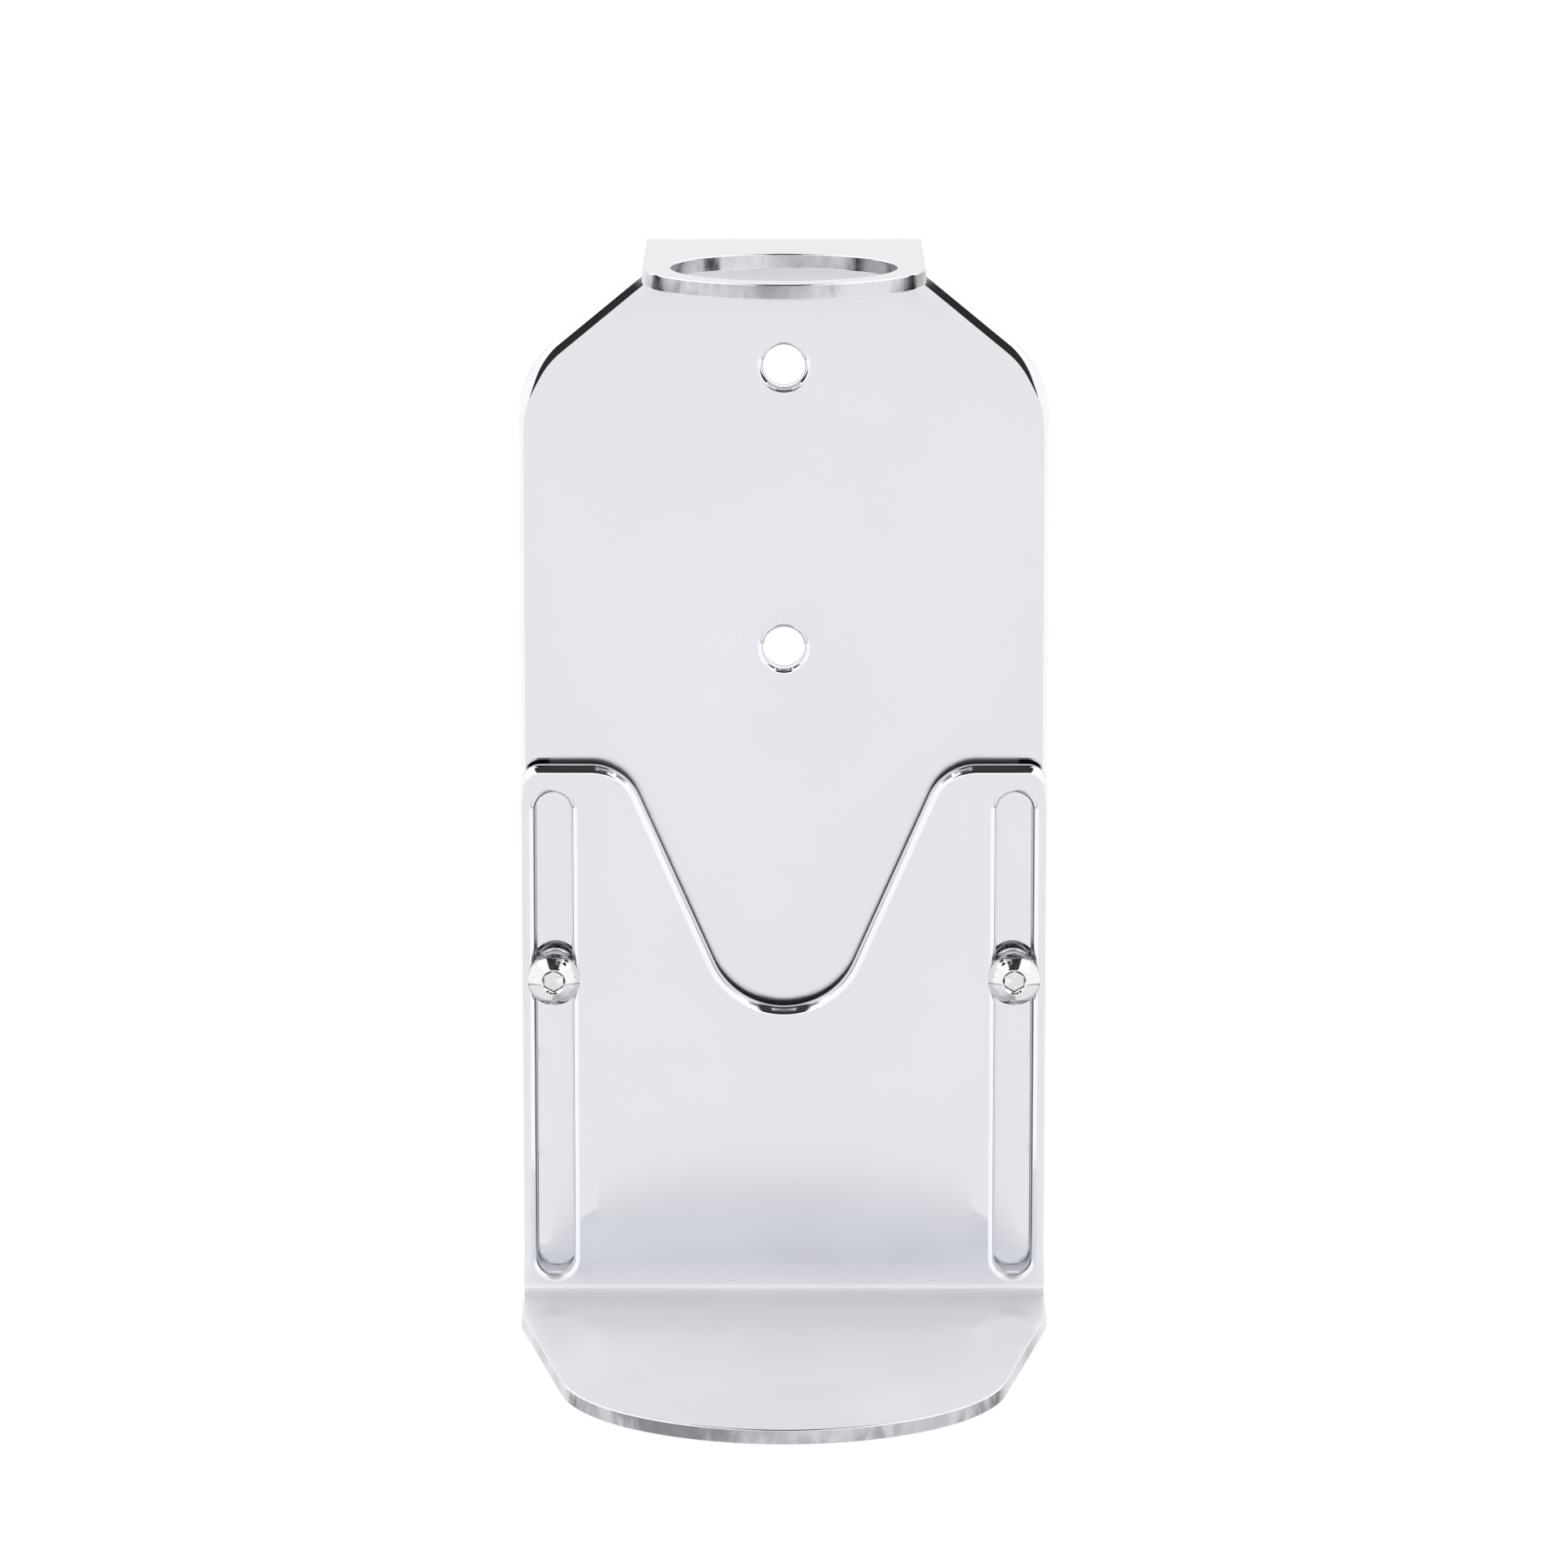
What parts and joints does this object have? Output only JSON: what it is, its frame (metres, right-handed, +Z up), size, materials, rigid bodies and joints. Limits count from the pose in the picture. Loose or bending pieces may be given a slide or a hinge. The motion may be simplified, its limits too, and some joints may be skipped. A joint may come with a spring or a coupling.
{
  "type": "hair dryer holder",
  "caption": "Wall-mounted folded metal hair dryer holder: a ring tongue on the back plate above a shelf tray that slides in slots and is held by button-head clamp screws.",
  "frame": {"origin": "midway between the two wall-screw holes, on the rear face of the back plate that lies against the wall", "axes": "+Z up, -Y out of the wall towards the user, +X to the right as seen from the front"},
  "size_m": [0.105, 0.104, 0.2171],
  "materials": {
    "plate_steel": "mirror polished",
    "tray_steel": "mirror polished",
    "nut_steel": "turned, satin",
    "screw_steel": "bright plated"
  },
  "bodies": {
    "back": {"back_plate": "plate_steel", "clinch_nut_left": "nut_steel", "clinch_nut_right": "nut_steel"},
    "tray": {"sliding_tray": "tray_steel"},
    "screw_left": {"clamp_screw_left": "screw_steel"},
    "screw_right": {"clamp_screw_right": "screw_steel"}
  },
  "joints": [
    {"name": "tray_slide", "type": "slide", "parent": "back", "child": "tray", "axis": [0, 0, 1], "range_m": [-0.0343, 0.0572]},
    {"name": "clamp_screw_left_turn", "type": "hinge", "parent": "back", "child": "screw_left", "pos_m": [-0.046, 0, -0.09435], "axis": [0, -1, 0], "range_deg": [0, 360]},
    {"name": "clamp_screw_right_turn", "type": "hinge", "parent": "back", "child": "screw_right", "pos_m": [0.046, 0, -0.09435], "axis": [0, -1, 0], "range_deg": [0, 360]}
  ]
}
